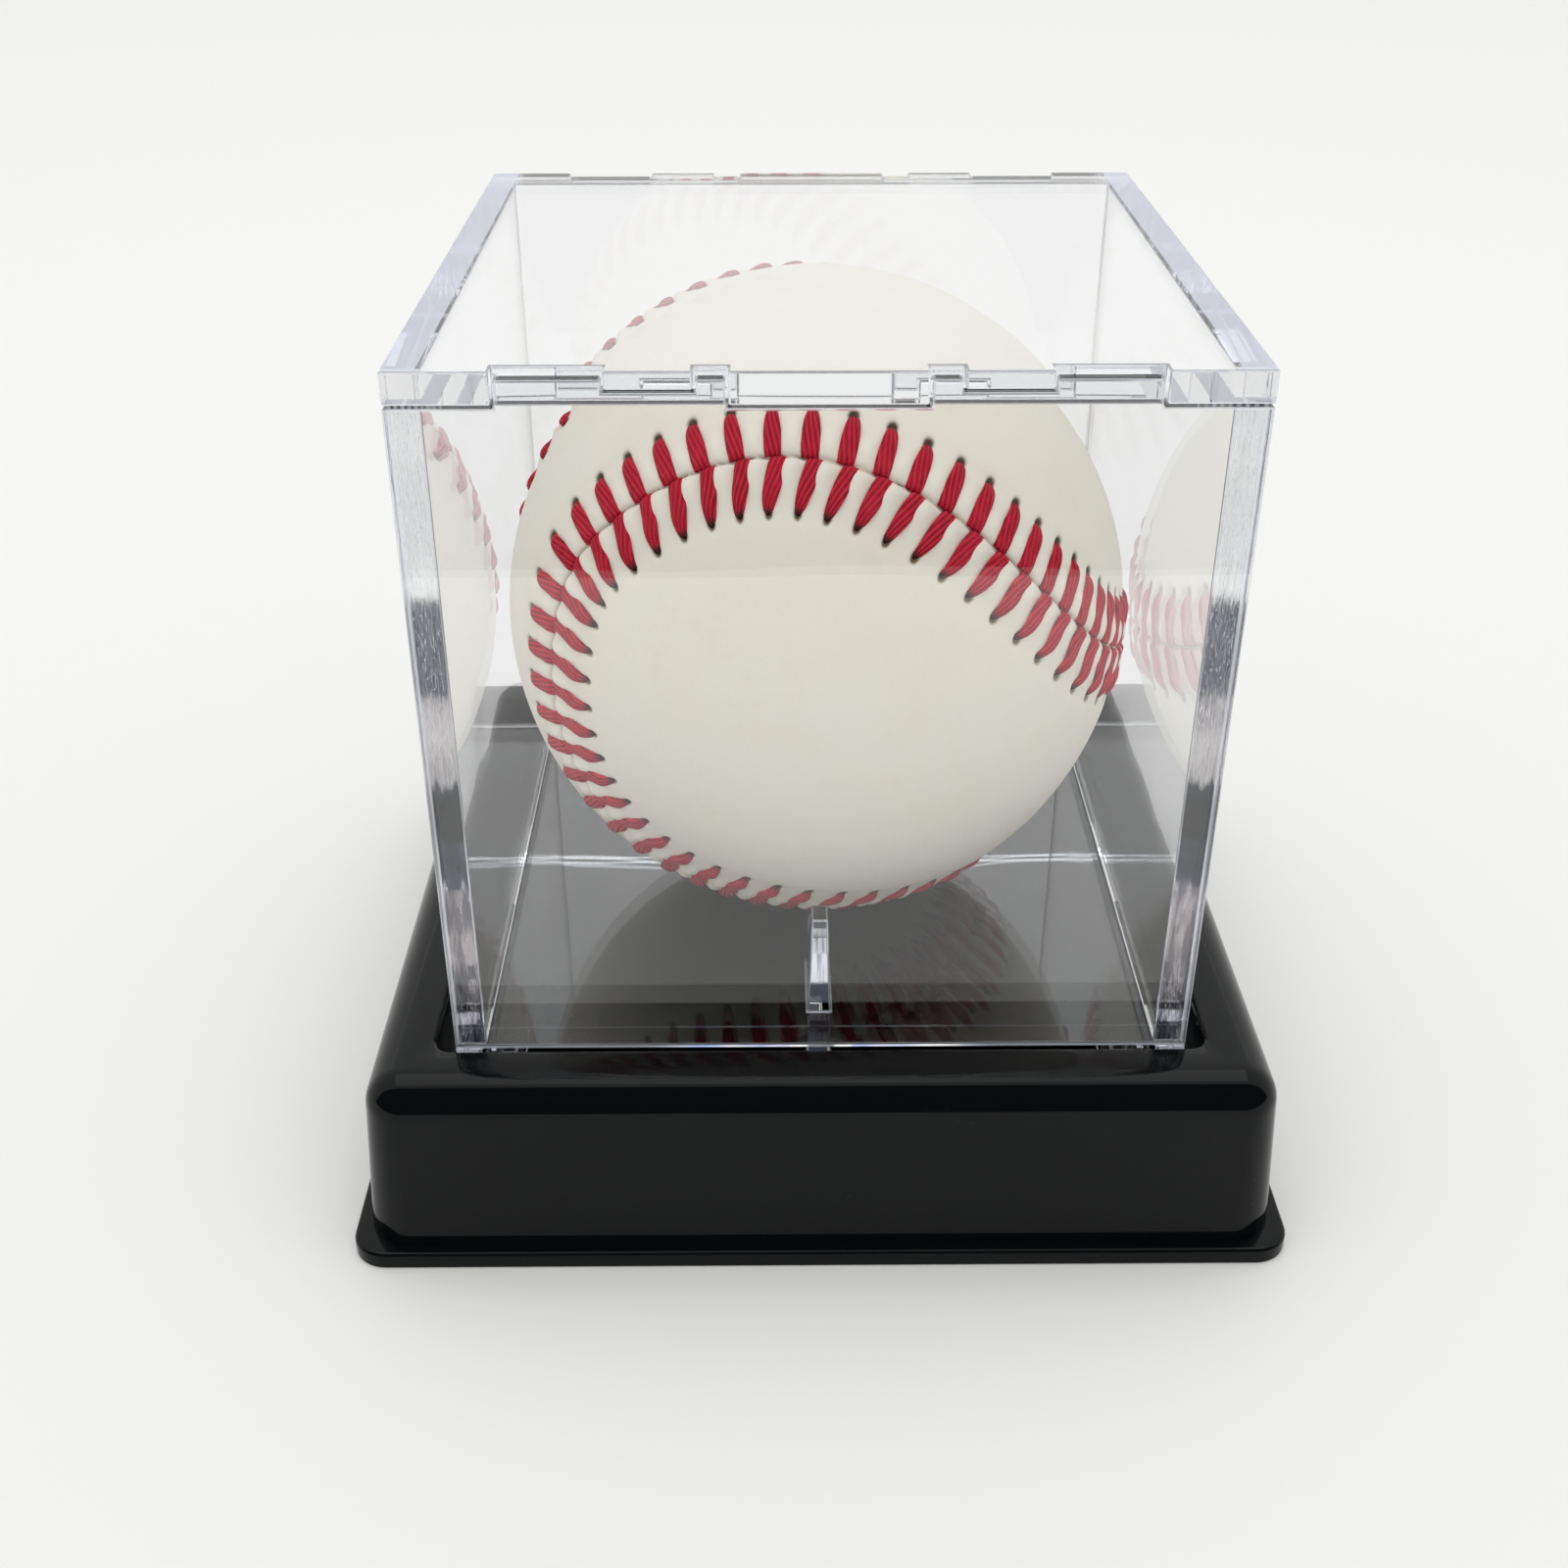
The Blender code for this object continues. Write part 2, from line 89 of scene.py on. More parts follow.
# %% A value in a node tree
class Flow:
    """The output of a shader node, with arithmetic."""

    def __init__(self, tree, socket=None):
        self.tree = tree
        self.socket = socket

    def node(self, kind, settings=None, inputs=None, output=0):
        """Adds a node, sets it up, then fills or links its sockets, and returns one output."""
        new = self.tree.nodes.new(kind)
        for name, value in (settings or {}).items():
            setattr(new, name, value)
        for key, value in (inputs or {}).items():
            if isinstance(value, Flow):
                self.tree.links.new(value.socket, new.inputs[key])
            else:
                new.inputs[key].default_value = value
        return Flow(self.tree, new.outputs[output])

    def math(self, operation, *others):
        return self.node("ShaderNodeMath", {"operation": operation}, dict(enumerate((self, *others))))

    def __add__(self, other):
        return self.math("ADD", other)

    def __sub__(self, other):
        return self.math("SUBTRACT", other)

    def __rsub__(self, other):
        return self.math("MULTIPLY_ADD", -1.0, other)

    def __mul__(self, other):
        return self.math("MULTIPLY", other)

    __radd__ = __add__
    __rmul__ = __mul__

    def axis(self, number):
        """One coordinate of a place or a vector: 0 for x, 1 for y, 2 for z."""
        return self.node("ShaderNodeSeparateXYZ", {}, {0: self}, output=number)

    def over(self, threshold, softness):
        """0 below the threshold and 1 above it, with a soft step between them."""
        step = {"interpolation_type": "SMOOTHSTEP"}
        ends = {"Value": self, "From Min": threshold - softness, "From Max": threshold + softness}
        return self.node("ShaderNodeMapRange", step, ends)

    def blend(self, low, high):
        """The colour low where this value is 0 and the colour high where it is 1."""
        colours = {}
        for key, colour in ((6, low), (7, high)):
            colours[key] = colour if isinstance(colour, Flow) else (*colour, 1.0)
        colours[0] = self
        return self.node("ShaderNodeMix", {"data_type": "RGBA"}, colours, output=2)


# %% [markdown]
# Patterns on a hard piece read its Object coordinates, which are metres here, so a scale of 1000
# is one cycle a millimetre. Patterns that follow a thread read attributes stored on its mesh.


# %% Pattern helpers
def place(flow):
    return flow.node("ShaderNodeTexCoord", output="Object")


def place_in_room(flow):
    """The direction a ray leaves in, for the room's light."""
    return flow.node("ShaderNodeTexCoord", output="Generated")


def stretched(flow, scale):
    """Object coordinates squeezed or stretched along each axis."""
    return flow.node("ShaderNodeMapping", {}, {"Vector": place(flow), "Scale": scale})


def noise(flow, scale, detail=2.0, roughness=0.5, vector=None):
    sockets = {"Scale": scale, "Detail": detail, "Roughness": roughness}
    sockets["Vector"] = vector or place(flow)
    return flow.node("ShaderNodeTexNoise", {}, sockets)


def cells(flow, scale):
    return flow.node("ShaderNodeTexVoronoi", {}, {"Scale": scale, "Vector": place(flow)})


def relief(flow, height, distance, strength=1.0, under=None):
    """A normal for a surface that is raised by height times distance, in metres."""
    sockets = {"Height": height, "Distance": distance, "Strength": strength}
    if under is not None:
        sockets["Normal"] = under
    return flow.node("ShaderNodeBump", {}, sockets)


def new_finish(name, constants):
    """A material, the Flow that starts its tree, and its Principled node with constants set."""
    material = bpy.data.materials.new(name)
    material.use_nodes = True
    tree = material.node_tree
    shader = tree.nodes["Principled BSDF"]
    for socket, value in constants.items():
        shader.inputs[socket].default_value = value
    return material, Flow(tree), shader


def feed(flow, shader, **links):
    for socket, value in links.items():
        flow.tree.links.new(value.socket, shader.inputs[socket.replace("_", " ")])


def show_mix(flow, share, first, second):
    """Makes the material show its first shader where share is 0 and its second where it is 1."""
    mixed = flow.node("ShaderNodeMixShader", {}, {0: share, 1: first, 2: second})
    output = next(n for n in flow.tree.nodes if n.type == "OUTPUT_MATERIAL")
    flow.tree.links.new(mixed.socket, output.inputs["Surface"])


# %% [markdown]
# ## Camera and studio
#
# The camera stands 20 cm in front of the ball and 5 cm above the lid, and looks down at it.
# The studio is a pale table under a big soft lamp in a white room. Black gloss and clear plastic
# show their surroundings more than themselves, so one dark card stands in front of the case for
# the unlit side of the room, and two thin bars of light stand far behind it for a window's edge.
# Only mirrored rays see them. The card draws the dark front of the floor, and the bars draw the
# bright double line across it.

# %% Camera
PITCH_DOWN = 30.59
TURN_RIGHT = 0.45
LENS = 41.73
CAMERA_PLACE = (-5.4 * MM, -201.7 * MM, 151.0 * MM)
camera_data = bpy.data.cameras.new("camera")
camera_data.lens = LENS
camera_data.sensor_width = 36.0
camera_data.clip_start = 0.001
camera = bpy.data.objects.new("camera", camera_data)
camera.location = CAMERA_PLACE
camera.rotation_euler = Euler((math.radians(90 - PITCH_DOWN), 0.0, math.radians(-TURN_RIGHT)))
bpy.context.scene.collection.objects.link(camera)
bpy.context.scene.camera = camera
print("camera at", [round(c / MM, 1) for c in camera.location], "mm")


# %% Pieces from bmesh
def link_piece(shape, name, materials, sharp_over=None):
    """Turns a bmesh into a linked object, smooth but for edges sharper than an angle in degrees."""
    mesh = bpy.data.meshes.new(name)
    shape.to_mesh(mesh)
    shape.free()
    for material in materials:
        mesh.materials.append(material)
    if sharp_over is not None:
        mesh.shade_smooth()
        mesh.set_sharp_from_angle(angle=math.radians(sharp_over))
    piece = bpy.data.objects.new(name, mesh)
    bpy.context.scene.collection.objects.link(piece)
    print(name, len(mesh.vertices), "points", len(mesh.polygons), "faces")
    return piece


# %% Table, room light and lamp
TABLE_SIZE = 3.0
TABLE_PAINT = {"Base Color": (0.825, 0.825, 0.815, 1), "Roughness": 0.9}
ROOM_LIGHT = 0.86
OVERHEAD_LIGHT = 0.22
BACK_LIGHT = 0.06
LAMP_SIZE = (1.2, 0.9)
LAMP_PLACE = (0.0, 0.20, 1.30)
LAMP_TILT = -9.0
LAMP_WATTS = 2.9

table_paint, flow, shader = new_finish("table_paint", TABLE_PAINT)
shape = bmesh.new()
bmesh.ops.create_grid(shape, x_segments=1, y_segments=1, size=TABLE_SIZE / 2)
table = link_piece(shape, "table", [table_paint])

world = bpy.data.worlds.new("room")
bpy.context.scene.world = world
world.use_nodes = True
room = Flow(world.node_tree)
back = place_in_room(room).axis(1)
up = place_in_room(room).axis(2)
room_light = back.over(0.35, 0.30) * BACK_LIGHT + up * up * OVERHEAD_LIGHT + ROOM_LIGHT
background = world.node_tree.nodes["Background"]
background.inputs["Color"].default_value = (1.0, 1.0, 0.995, 1.0)
world.node_tree.links.new(room_light.socket, background.inputs["Strength"])

lamp_data = bpy.data.lights.new("softbox", "AREA")
lamp_data.shape = "RECTANGLE"
lamp_data.size, lamp_data.size_y = LAMP_SIZE
lamp_data.energy = LAMP_WATTS
lamp = bpy.data.objects.new("softbox", lamp_data)
lamp.location = LAMP_PLACE
lamp.rotation_euler = Euler((math.radians(LAMP_TILT), 0.0, 0.0))
bpy.context.scene.collection.objects.link(lamp)
print("table, room light and softbox", LAMP_SIZE, "m")

# %% A dark card and two light bars, seen only in mirrors
CARD_DISTANCE = 0.218
CARD_WIDTH = 3.0
CARD_HEIGHT = 0.9
CARD_LEAN = 0.1
BAR_DISTANCE = 0.7
BAR_RISE = 32.75
BAR_WIDTH = 1.6
BAR_THICKNESS = 0.9 * MM
BAR_LIFTS = (0.0, 2.9 * MM)
BAR_EYE_LEVEL = 20 * MM
BAR_WHITE = {"Emission Color": (0.93, 0.96, 1.0, 1), "Emission Strength": 5.0}
CARD_BLACK = {"Base Color": (0.004, 0.004, 0.004, 1), "Roughness": 1.0, "Specular IOR Level": 0.0}


def only_mirrored(flow, shader):
    """Keeps a studio piece out of sight except in what the clear and black plastics mirror."""
    mirrored = flow.node("ShaderNodeLightPath", output="Glossy Depth").math("GREATER_THAN", 0.5)
    unseen = flow.node("ShaderNodeBsdfTransparent")
    show_mix(flow, mirrored, unseen, Flow(flow.tree, shader.outputs[0]))


card_black, flow, shader = new_finish("card_black", CARD_BLACK)
only_mirrored(flow, shader)
shape = bmesh.new()
bmesh.ops.create_grid(shape, x_segments=1, y_segments=1, size=0.5)
for vert in shape.verts:
    rise = vert.co.y + 0.5
    vert.co = Vector((vert.co.x * CARD_WIDTH, -CARD_DISTANCE - CARD_LEAN * rise, CARD_HEIGHT * rise))
card = link_piece(shape, "dark_card", [card_black])
card.visible_diffuse = False
card.visible_shadow = False

glow, flow, shader = new_finish("glow", {"Base Color": (0.0, 0.0, 0.0, 1), **BAR_WHITE})
only_mirrored(flow, shader)
for number, lift in enumerate(BAR_LIFTS):
    shape = bmesh.new()
    bmesh.ops.create_cube(shape, size=1.0)
    height = BAR_EYE_LEVEL + BAR_DISTANCE * math.tan(math.radians(BAR_RISE)) + lift
    for vert in shape.verts:
        x, y, z = vert.co
        vert.co = Vector((x * BAR_WIDTH, BAR_DISTANCE + y * BAR_THICKNESS, height + z * BAR_THICKNESS))
    bar = link_piece(shape, f"light_bar_{number}", [glow])
    bar.visible_diffuse = False
    bar.visible_shadow = False

bpy.context.scene.view_settings.view_transform = "Standard"
bpy.context.scene.cycles.max_bounces = 20
bpy.context.scene.cycles.transmission_bounces = 16
bpy.context.scene.cycles.transparent_max_bounces = 24
bpy.context.scene.cycles.glossy_bounces = 8
print("dark card", CARD_WIDTH, "m wide and", len(BAR_LIFTS), "light bars")

# %% [markdown]
# ## The black base
#
# The base is one injection moulding. Every level section through it is a square with round
# corners, so it is drawn the way a thrown pot is: one ring of points is pulled along a profile,
# from the pocket's floor up over the lip, down the outside, under the flange and up into the
# hollow. Extruding a ring keeps the skin closed, and each ring is then set to its own size.

# %% Black gloss plastic
PLASTIC_BLACK = {
    "Base Color": (0.003, 0.003, 0.0035, 1),
    "Roughness": 0.08,
    "IOR": 1.5,
    "Specular IOR Level": 0.17,
}
black_gloss, flow, shader = new_finish("black_gloss", PLASTIC_BLACK)
dust_size = cells(flow, 900.0)
dusty_patches = noise(flow, 45.0, 3.0).over(0.66, 0.04)
dust = (1.0 - dust_size.over(0.11, 0.03)) * dusty_patches
haze = noise(flow, 60.0, 3.0)
scratch_lines = noise(flow, 1.0, 4.0, vector=stretched(flow, (40.0, 2200.0, 2200.0))).over(0.70, 0.02)
feed(
    flow,
    shader,
    Base_Color=dust.blend((0.003, 0.0035, 0.004), (0.08, 0.08, 0.08)),
    Roughness=0.06 + 0.05 * haze + 0.25 * dust + 0.06 * scratch_lines,
    Normal=relief(flow, haze, 0.02 * MM, 0.5),
)
print("finish", black_gloss.name)

# %% Rings of a square with round corners
BASE_CORNER_STEPS = 10
POCKET_HALF = CUBE_HALF + 2.0 * MM
POCKET_FLOOR = BASE_HIGH.z - 5.9 * MM
BASE_TOP_HALF = POCKET_HALF + 7.4 * MM
BASE_FOOT_HALF = BASE_TOP_HALF + 0.9 * MM
BASE_CORNER = 4.5 * MM
TOP_ROUNDING = 4.3 * MM
BASE_WALL = 2.4 * MM
FOOT_CHAMFER = 0.1 * MM
FLANGE_TOP = 2.0 * MM
FLANGE_CORNER = 4.0 * MM
POCKET_CORNER = 2.0 * MM
LIP_ROUNDING = 0.5 * MM
FLANGE_ROUNDING = 0.45 * MM


def set_ring(points, half, corner, height):
    """Places a ring's points on a square with round corners. Each point knows its own number."""
    steps = BASE_CORNER_STEPS
    for number, point in points:
        quarter, step = divmod(number, steps + 1)
        turn = math.radians(90.0) * (quarter + step / steps)
        corner_turn = math.radians(45.0 + 90.0 * quarter)
        middle = half - corner
        x = math.copysign(middle, math.cos(corner_turn)) + corner * math.cos(turn)
        y = math.copysign(middle, math.sin(corner_turn)) + corner * math.sin(turn)
        point.co = Vector((x, y, height))


def arc(centre_half, centre_height, radius, start, end, steps, corner_at_centre):
    """Profile rings along a quarter turn; angles are from level outward, in degrees."""
    rings = []
    for step in range(steps + 1):
        turn = math.radians(start + (end - start) * step / steps)
        out = radius * math.cos(turn)
        rings.append((centre_half + out, corner_at_centre + out, centre_height + radius * math.sin(turn)))
    return rings


def base_profile():
    """(half width, corner radius, height) of each ring, from the pocket's floor to its underside."""
    top = BASE_HIGH.z
    rings = [(POCKET_HALF, POCKET_CORNER, POCKET_FLOOR)]
    lip_half = POCKET_HALF + LIP_ROUNDING
    rings += arc(lip_half, top - LIP_ROUNDING, LIP_ROUNDING, 180, 90, 4, POCKET_CORNER + LIP_ROUNDING)
    rim_half = BASE_TOP_HALF - TOP_ROUNDING
    rings += arc(rim_half, top - TOP_ROUNDING, TOP_ROUNDING, 90, 0, 12, BASE_CORNER - TOP_ROUNDING)
    rings.append((BASE_FOOT_HALF, BASE_CORNER, FLANGE_TOP))
    edge_half = BASE_HIGH.x - FLANGE_ROUNDING
    edge_corner = FLANGE_CORNER - FLANGE_ROUNDING
    rings += arc(edge_half, FLANGE_TOP - FLANGE_ROUNDING, FLANGE_ROUNDING, 90, 0, 4, edge_corner)
    rings.append((BASE_HIGH.x, FLANGE_CORNER, FOOT_CHAMFER))
    rings.append((BASE_HIGH.x - FOOT_CHAMFER, FLANGE_CORNER - FOOT_CHAMFER, 0.0))
    hollow_half = BASE_TOP_HALF - BASE_WALL
    hollow_corner = BASE_CORNER - BASE_WALL
    rings.append((hollow_half, hollow_corner, 0.0))
    hollow_top = top - BASE_WALL
    inner_rounding = TOP_ROUNDING - BASE_WALL
    inner_half = hollow_half - inner_rounding
    inner_corner = hollow_corner - inner_rounding
    rings += arc(inner_half, hollow_top - inner_rounding, inner_rounding, 0, 90, 5, inner_corner)
    rings.append((POCKET_HALF + BASE_WALL, POCKET_CORNER, hollow_top))
    rings.append((POCKET_HALF + BASE_WALL, POCKET_CORNER, POCKET_FLOOR - BASE_WALL))
    return rings


# %% The base is pulled along its profile
shape = bmesh.new()
bmesh.ops.create_circle(shape, cap_ends=True, segments=4 * (BASE_CORNER_STEPS + 1), radius=1.0)
number_of = shape.verts.layers.int.new("number")
shape.verts.ensure_lookup_table()
for number, vert in enumerate(sorted(shape.verts, key=lambda v: math.atan2(v.co.y, v.co.x) % math.tau)):
    vert[number_of] = number
profile = base_profile()
set_ring([(v[number_of], v) for v in shape.verts], *profile[0])
ring = list(shape.edges)
for half, corner, height in profile[1:]:
    pulled = bmesh.ops.extrude_edge_only(shape, edges=ring)["geom"]
    ring = [item for item in pulled if isinstance(item, bmesh.types.BMEdge)]
    points = [(item[number_of], item) for item in pulled if isinstance(item, bmesh.types.BMVert)]
    set_ring(points, half, corner, height)
bmesh.ops.edgeloop_fill(shape, edges=ring)
bmesh.ops.remove_doubles(shape, verts=shape.verts, dist=1e-7)
bmesh.ops.recalc_face_normals(shape, faces=shape.faces)
base = link_piece(shape, "base_moulding", [black_gloss], sharp_over=35)
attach(base, "base")
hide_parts("base_tray")

# %% [markdown]
# ## Clear plastic
#
# Clear polystyrene bends light a little more than window glass. Each wall is a real slab here, so
# the bright edges, the mirrored ball in the side walls and the dark feet of the walls come from
# the slabs themselves, but the dark and dull lower parts of the side walls' upright ends are a
# painted reflection of the black base. Rays that only carry light from the lamps to the ball go
# straight through, because a path tracer finds a lamp through bending glass only by luck, and the
# ball would be speckled. The cube is moulded, not cut, so a faint slow swell in its faces makes
# what they mirror wander a little.

# %% Clear plastic
CLEAR = {
    "Base Color": (0.99, 0.994, 1.0, 1),
    "Roughness": 0.0,
    "IOR": 1.57,
    "Transmission Weight": 1.0,
}


SWELL = 0.04 * MM
STREAKS = 0.25 * MM
# Heights of the painted reflection of the black base on the side walls' upright ends.
MIRRORED_RIM = 55.1 * MM
MIRRORED_FLOOR = 41.8 * MM
RAGGEDNESS = 5.0 * MM


def painted_base_reflection(flow):
    """A painted reflection of the black base along an upright end of a side wall: dark half way up, dull
    below.
    """
    height = place(flow).axis(2)
    brush = noise(flow, 1.0, 3.0, vector=stretched(flow, (1400.0, 1400.0, 110.0)))
    ragged = height + RAGGEDNESS * (brush - 0.5)
    mottle = noise(flow, 1.0, 4.0, 0.65, vector=stretched(flow, (900.0, 900.0, 150.0)))
    dark = mottle.over(0.56, 0.12).blend((0.0005, 0.001, 0.004), (0.006, 0.011, 0.026))
    dull = mottle.over(0.50, 0.10).blend((0.05, 0.045, 0.055), (0.44, 0.40, 0.41))
    low = ragged.over(MIRRORED_FLOOR, 0.7 * MM).blend(dull, dark)
    return ragged.over(MIRRORED_RIM, 0.8 * MM).blend(low, CLEAR["Base Color"][:3])


def clear_finish(name, swell, streaks=0.0, constants=CLEAR):
    """Clear plastic with a slow swell in its faces and, on moulded ends, upright streaks and a painted
    reflection of the base.
    """
    material, flow, shader = new_finish(name, constants)
    normal = relief(flow, noise(flow, 35.0, 1.0), swell)
    if streaks:
        grain = noise(flow, 1.0, 3.0, vector=stretched(flow, (900.0, 900.0, 60.0)))
        normal = relief(flow, grain, streaks, under=normal)
        # The moulded ends take a painted reflection of the black base as their colour.
        feed(flow, shader, Base_Color=painted_base_reflection(flow))
    feed(flow, shader, Normal=normal)
    shadow = flow.node("ShaderNodeLightPath", output="Is Shadow Ray")
    diffuse = flow.node("ShaderNodeLightPath", output="Is Diffuse Ray")
    passing = flow.node("ShaderNodeBsdfTransparent", {}, {"Color": (0.985, 0.99, 0.995, 1)})
    show_mix(flow, shadow.math("MAXIMUM", diffuse), Flow(flow.tree, shader.outputs[0]), passing)
    return material


WORN = {"Base Color": (0.92, 0.94, 1.0, 1), "Roughness": 0.15, "Transmission Weight": 0.72}
clear_face = clear_finish("clear_face", SWELL)
clear_end = clear_finish("clear_end", SWELL, STREAKS)
worn_edge = clear_finish("worn_edge", 0.0, constants={**CLEAR, **WORN})
print("finishes", clear_face.name, clear_end.name, worn_edge.name)

# %% [markdown]
# Some places on the cube are not clear at all. The feet of the cover's walls are left matt by the
# gate cutter and carry a painted glow for light piped down the walls. The cradle rib is rubbed
# white where the ball sits, with a painted glow on the rubbed band, and has painted dark where it
# meets the floor, for the black base seen through it. The tops of the side walls carry a pale
# painted reflection of the whole length of the wall below, and along the front wall's foot a
# painted glint stands for a thin line of light piped up to the eye. These are painted as what
# they look like, because a path tracer would need far too long to find them.

# %% Matt, scuffed and painted places
MATT_FOOT = {"Base Color": (0.86, 0.89, 1.0, 1), "Roughness": 0.8}
# Painted glow for the matt feet, for light piped down the walls.
PAINTED_FOOT_GLOW = {"Emission Color": (0.80, 0.85, 1.0, 1), "Emission Strength": 0.28}
SCUFF_WHITE = {"Base Color": (0.92, 0.94, 1.0, 1), "Roughness": 0.9}
# Painted glow for the scuffed band of the rib.
SCUFF_PAINTED_GLOW = {"Emission Color": (0.9, 0.92, 1.0, 1), "Emission Strength": 0.35}
SCUFF_LOW = 24.6 * MM
SCUFF_HIGH = 28.8 * MM
# Painted dark at the rib's foot, standing for the black base seen through it.
PAINTED_DARK_TOP = 24.5 * MM
PAINTED_BASE_DARK = {"Base Color": (0.03, 0.05, 0.10, 1), "Roughness": 0.2}
# Painted reflection for the tops of the side walls.
PAINTED_TOP_REFLECTION = {"Base Color": (0.60, 0.63, 0.74, 1), "Roughness": 0.35}
# Painted glint for the line at the front wall's foot.
PAINTED_GLINT = {"Base Color": (0.8, 0.85, 0.95, 1), "Roughness": 0.3, "Emission Strength": 0.75}
PIPE_GAP = 1.5 * MM
PIPE_WHITE = 3.2 * MM
PIPE_REACH = 16.0 * MM


def overlay(flow, share, constants):
    """Lays a second, solid finish over part of a clear one."""
    output = next(n for n in flow.tree.nodes if n.type == "OUTPUT_MATERIAL")
    under = Flow(flow.tree, output.inputs["Surface"].links[0].from_socket)
    show_mix(flow, share, under, flow.node("ShaderNodeBsdfPrincipled", {}, constants))


# Matt feet that also glow: the glow is painted light.
sawn_foot_painted_glow, flow, shader = new_finish("sawn_foot_painted_glow", {**MATT_FOOT, **PAINTED_FOOT_GLOW})
feed(flow, shader, Base_Color=noise(flow, 300.0, 3.0).blend((0.72, 0.75, 0.86), (0.95, 0.97, 1.0)))

scuffed_rib_painted_light = clear_finish("scuffed_rib_painted_light", 0.0)
flow = Flow(scuffed_rib_painted_light.node_tree)
height = place(flow).axis(2)
scuff_band = height.over(SCUFF_LOW, 0.4 * MM) * (1.0 - height.over(SCUFF_HIGH, 0.4 * MM))
rubbed = noise(flow, 1.0, 3.0, vector=stretched(flow, (2500.0, 2500.0, 120.0))).over(0.36, 0.2)
# The scuffed band is white and also glows: the glow is painted light.
overlay(flow, scuff_band * rubbed * 0.9, {**SCUFF_WHITE, **SCUFF_PAINTED_GLOW})
# Painted dark at the rib's foot, for the black base seen through it.
overlay(flow, (1.0 - height.over(PAINTED_DARK_TOP, 0.2 * MM)) * 0.92, PAINTED_BASE_DARK)

clear_top_painted_reflection = clear_finish("clear_top_painted_reflection", SWELL)
flow = Flow(clear_top_painted_reflection.node_tree)
wall_top = place(flow).axis(0).math("ABSOLUTE").over(CUBE_INSIDE - 0.1 * MM, 0.05 * MM)
# Painted reflection: the tops of the side walls are made pale, for the wall below mirrored in them.
overlay(flow, wall_top * 0.72, PAINTED_TOP_REFLECTION)

# Painted glint: the strip at the front wall's foot glows blue and white, with a gap at the rib.
painted_glint_line, flow, shader = new_finish("painted_glint_line", PAINTED_GLINT)
beside = place(flow).axis(0).math("ABSOLUTE")
piped = beside.over(PIPE_GAP, 0.2 * MM) * (1.0 - beside.over(PIPE_REACH, 4.0 * MM))
shimmer = noise(flow, 1.0, 2.0, vector=stretched(flow, (120.0, 0.0, 0.0)))
whiteness = (shimmer + 1.0 - beside.over(PIPE_WHITE, 0.4 * MM)).over(0.5, 0.15)
glow_blue = whiteness.blend((0.20, 0.34, 0.85), (1.0, 1.0, 0.92))
feed(flow, shader, Emission_Color=piped.blend((0.0, 0.0, 0.0), glow_blue))
print("finishes", sawn_foot_painted_glow.name, scuffed_rib_painted_light.name, clear_top_painted_reflection.name, painted_glint_line.name)

# %% [markdown]
# The two shells keep the frame's exact shape, joints and all. A moulding has no knife edges, so
# each copy gets its flat faces made whole, its floor corners filleted and every sharp edge
# rounded by a fifth of a millimetre. The rounding shows as the fine bright outline of the cube.
# Each face then takes its finish from where it is and which way it looks.

# %% Rounded copies of the two shells
EDGE_ROUNDING = 0.2 * MM
MITRE_SOFTNESS = 25.0
FILLET = 0.5 * MM
GLINT_HEIGHTS = (21.72 * MM, 22.00 * MM)
TOUCH = 0.05 * MM
FLAT = 0.985
WIDEST_BAND = 40 * MM**2
SHELL_FINISHES = {
    "face": clear_face,
    "end": clear_end,
    "edge": worn_edge,
    "foot": sawn_foot_painted_glow,
    "rib": scuffed_rib_painted_light,
    "glint": painted_glint_line,
    "top": clear_top_painted_reflection,
}


def bevel(shape, edges, offset, segments):
    bmesh.ops.bevel(
        shape,
        geom=edges,
        offset=offset,
        segments=segments,
        profile=0.5,
        affect="EDGES",
        material=-1,
        clamp_overlap=False,
    )


def is_inner_corner(edge):
    """The long corners where the lower shell's floor meets its front and back walls."""
    return all(abs(abs(v.co.y) - CUBE_INSIDE) < TOUCH and abs(v.co.z - FLOOR_TOP) < TOUCH for v in edge.verts)


def rounded_shell(node, name, kind_of):
    """A copy of a shell from the frame with its flat faces made whole and its edges rounded."""
    shape = bmesh.new()
    shape.from_mesh(frame["nodes"][node].data)
    bmesh.ops.remove_doubles(shape, verts=shape.verts, dist=1e-6)
    bmesh.ops.dissolve_limit(
        shape,
        angle_limit=math.radians(0.5),
        verts=shape.verts,
        edges=shape.edges,
        use_dissolve_boundaries=False,
    )
    corners = [e for e in shape.edges if is_inner_corner(e)]
    if corners:
        bevel(shape, corners, FILLET, 3)
        for height in GLINT_HEIGHTS:
            all_of_it = [*shape.verts, *shape.edges, *shape.faces]
            level = Vector((0.0, 0.0, height))
            bmesh.ops.bisect_plane(shape, geom=all_of_it, dist=1e-7, plane_co=level, plane_no=(0.0, 0.0, 1.0))
    mitre = math.radians(MITRE_SOFTNESS)
    sharp = [e for e in shape.edges if e.is_manifold and e.calc_face_angle(0.0) > mitre]
    bevel(shape, sharp, EDGE_ROUNDING, 2)
    kinds = list(SHELL_FINISHES)
    for face in shape.faces:
        is_band = max(abs(c) for c in face.normal) < FLAT and face.calc_area() < WIDEST_BAND
        face.material_index = kinds.index("edge" if is_band else kind_of(face))
    print(name, "corners", len(corners), "rounded edges", len(sharp))
    return link_piece(shape, name, SHELL_FINISHES.values())


